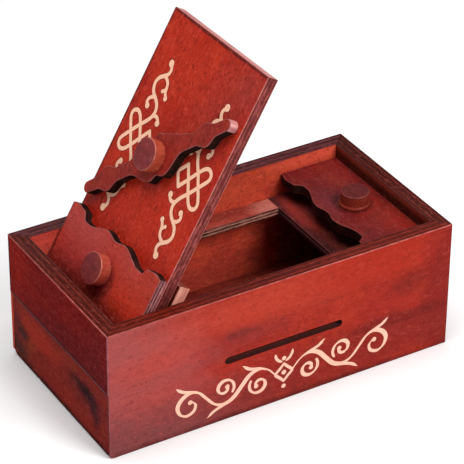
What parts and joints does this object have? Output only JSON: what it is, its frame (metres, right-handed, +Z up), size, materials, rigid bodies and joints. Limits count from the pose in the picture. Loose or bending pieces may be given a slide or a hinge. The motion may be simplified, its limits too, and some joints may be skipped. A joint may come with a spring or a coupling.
{
  "type": "puzzle box",
  "caption": "Wooden puzzle box with a tipping lid board, a turning latch strip, knobbed wavy plates, a money slot and a hidden end drawer.",
  "frame": {"origin": "centre of the box's base at rest, on the surface it stands on", "axes": "+X along the box towards the end with the fixed plate, +Y from the slotted front to the back, +Z up"},
  "size_m": [0.18, 0.095, 0.1638],
  "materials": {
    "red_ply": "satin",
    "end_ply": "satin",
    "lid_ply": "satin",
    "plate_ply": "satin",
    "knob_wood": "satin",
    "inner_ply": "matte",
    "bare_wood": "matte"
  },
  "bodies": {
    "carcass": {"front_wall": "red_ply", "back_wall": "red_ply", "right_wall": "red_ply", "left_wall": "end_ply", "bottom_board": "inner_ply", "front_ledge": "inner_ply", "back_ledge": "inner_ply", "cross_ledge": "inner_ply", "plate_spacer": "bare_wood", "right_plate": "plate_ply"},
    "left_slider": {"left_plate": "plate_ply", "left_knob": "knob_wood", "slide_dowel_front": "bare_wood", "slide_dowel_back": "bare_wood", "keeper_bar": "bare_wood"},
    "lid": {"lid_board": "lid_ply"},
    "latch": {"latch_strip": "plate_ply", "centre_knob": "knob_wood", "pivot_dowel": "bare_wood", "dowel_collar": "bare_wood"},
    "drawer": {"drawer_front": "end_ply", "drawer_floor": "inner_ply", "drawer_side_front": "inner_ply", "drawer_side_back": "inner_ply", "drawer_back": "inner_ply", "catch_block": "bare_wood"},
    "drawer_lock": {"right_knob": "knob_wood", "lock_dowel": "bare_wood", "lock_arm": "bare_wood"}
  },
  "joints": [
    {"name": "lid_tilt", "type": "hinge", "parent": "carcass", "child": "left_slider", "pos_m": [-0.0739, 0, 0.0611], "axis": [0.0105, 0.9998, -0.0183], "range_deg": [0, 59.51]},
    {"name": "lid_slide", "type": "slide", "parent": "left_slider", "child": "lid", "axis": [0.5074, 0.0209, 0.8614], "range_m": [0, 0.0098]},
    {"name": "latch_turn", "type": "hinge", "parent": "lid", "child": "latch", "pos_m": [-0.03431, 0.00135, 0.11274], "axis": [-0.8616, 0, 0.5075], "range_deg": [0, 46.7]},
    {"name": "drawer_slide", "type": "slide", "parent": "carcass", "child": "drawer", "axis": [-1, 0, 0], "range_m": [0, 0.13]},
    {"name": "drawer_lock_turn", "type": "hinge", "parent": "carcass", "child": "drawer_lock", "pos_m": [0.0674, 0, 0.04], "axis": [0, 0, -1], "range_deg": [0, 90]}
  ],
  "couplings": [
    {"joint": "lid_slide", "follows": "latch_turn", "m_per_rad": 0.012023}
  ]
}
